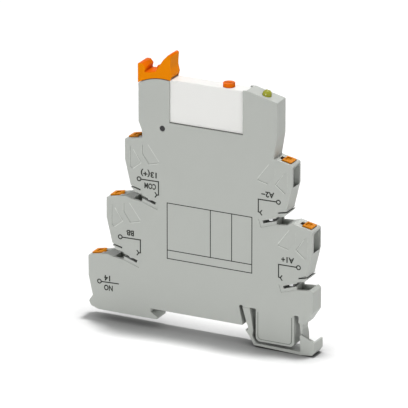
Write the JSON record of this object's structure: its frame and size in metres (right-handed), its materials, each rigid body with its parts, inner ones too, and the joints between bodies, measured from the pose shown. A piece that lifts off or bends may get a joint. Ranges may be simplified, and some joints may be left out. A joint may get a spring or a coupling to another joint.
{
  "type": "slim interface relay",
  "caption": "Slim rail-mounted interface relay: stepped push-in terminals with release buttons, a plug-in relay held by an ejector lever, an indicator lens and a spring foot.",
  "frame": {"origin": "middle of the rail seat, on the rail's top plane, at half the module's thickness", "axes": "+X across the rail towards the coil terminals, +Y along the rail away from the printed side, +Z away from the rail towards the lever"},
  "size_m": [0.0814, 0.0062, 0.0935],
  "materials": {
    "grey_plastic": "fine moulded grey, satin",
    "orange_plastic": "smooth moulded orange",
    "white_plastic": "smooth moulded white",
    "amber_lens": "tinted clear dome",
    "amber_plastic": "plain moulded",
    "dark_plastic": "plain moulded",
    "board_laminate": "coated laminate",
    "copper_wire": "enamelled winding",
    "copper_strip": "stamped copper alloy strip",
    "tinned_metal": "tinned strip",
    "soft_iron": "plated iron",
    "spring_steel": "rolled spring strip"
  },
  "bodies": {
    "housing": {"housing_shell": "grey_plastic", "side_cover": "grey_plastic", "lever_pivot_pin": "grey_plastic", "foot_arm_inner": "grey_plastic", "foot_arm_outer": "grey_plastic", "led_lens": "amber_lens", "led_chip": "white_plastic", "circuit_board": "board_laminate", "rectifier": "dark_plastic", "board_resistors": "dark_plastic", "socket_contact_com": "tinned_metal", "socket_contact_no": "tinned_metal", "socket_contact_a1": "tinned_metal", "socket_contact_a2": "tinned_metal", "current_bar_l1": "tinned_metal", "current_bar_l2": "tinned_metal", "current_bar_l3": "tinned_metal", "current_bar_r1": "tinned_metal", "current_bar_r2": "tinned_metal", "clamp_spring_l1": "spring_steel", "clamp_spring_l2": "spring_steel", "clamp_spring_l3": "spring_steel", "clamp_spring_r1": "spring_steel", "clamp_spring_r2": "spring_steel"},
    "lever": {"ejector_lever": "orange_plastic"},
    "relay": {"relay_case": "white_plastic", "relay_base": "dark_plastic", "relay_pins": "tinned_metal", "relay_bobbin": "dark_plastic", "relay_coil": "copper_wire", "relay_core": "soft_iron", "relay_yoke": "soft_iron", "contact_spring_com": "copper_strip", "contact_blade_no": "copper_strip", "contact_blade_nc": "copper_strip", "test_spring": "spring_steel"},
    "test_button": {"test_button": "orange_plastic"},
    "armature": {"relay_armature": "soft_iron", "actuator_card": "amber_plastic"},
    "foot": {"rail_foot": "grey_plastic"},
    "release_button_l1": {"release_button_l1": "orange_plastic"},
    "release_button_l2": {"release_button_l2": "orange_plastic"},
    "release_button_l3": {"release_button_l3": "orange_plastic"},
    "release_button_r1": {"release_button_r1": "orange_plastic"},
    "release_button_r2": {"release_button_r2": "orange_plastic"}
  },
  "joints": [
    {"name": "lever_swing", "type": "hinge", "parent": "housing", "child": "lever", "pos_m": [-0.0131, 0, 0.0624], "axis": [0, -1, 0], "range_deg": [0, 20]},
    {"name": "relay_lift", "type": "slide", "parent": "housing", "child": "relay", "axis": [0, 0, 1], "range_m": [0, 0.0019]},
    {"name": "test_press", "type": "slide", "parent": "relay", "child": "test_button", "axis": [0, 0, -1], "range_m": [0, 0.0007], "stiffness_N_per_m": 500, "springref_m": -0.0004, "deforming": ["test_spring"]},
    {"name": "armature_pull", "type": "hinge", "parent": "relay", "child": "armature", "pos_m": [0.00355, 0, 0.0663], "axis": [0, 1, 0], "range_deg": [0, 4], "stiffness_Nm_per_rad": 0.002, "springref_deg": -2.86, "deforming": ["contact_spring_com"]},
    {"name": "foot_slide", "type": "slide", "parent": "housing", "child": "foot", "axis": [1, 0, 0], "range_m": [0, 0.00085], "stiffness_N_per_m": 2000, "springref_m": -0.0002, "deforming": ["foot_arm_inner", "foot_arm_outer"]},
    {"name": "release_press_l1", "type": "slide", "parent": "housing", "child": "release_button_l1", "axis": [0.6428, 0, -0.766], "range_m": [0, 0.0012], "stiffness_N_per_m": 800, "springref_m": -0.0005, "deforming": ["clamp_spring_l1"]},
    {"name": "release_press_l2", "type": "slide", "parent": "housing", "child": "release_button_l2", "axis": [0.6428, 0, -0.766], "range_m": [0, 0.0012], "stiffness_N_per_m": 800, "springref_m": -0.0005, "deforming": ["clamp_spring_l2"]},
    {"name": "release_press_l3", "type": "slide", "parent": "housing", "child": "release_button_l3", "axis": [0.6428, 0, -0.766], "range_m": [0, 0.0012], "stiffness_N_per_m": 800, "springref_m": -0.0005, "deforming": ["clamp_spring_l3"]},
    {"name": "release_press_r1", "type": "slide", "parent": "housing", "child": "release_button_r1", "axis": [-0.6428, 0, -0.766], "range_m": [0, 0.0012], "stiffness_N_per_m": 800, "springref_m": -0.0005, "deforming": ["clamp_spring_r1"]},
    {"name": "release_press_r2", "type": "slide", "parent": "housing", "child": "release_button_r2", "axis": [-0.6428, 0, -0.766], "range_m": [0, 0.0012], "stiffness_N_per_m": 800, "springref_m": -0.0005, "deforming": ["clamp_spring_r2"]}
  ],
  "couplings": [
    {"joint": "relay_lift", "follows": "lever_swing", "m_per_rad": 0.0052}
  ]
}
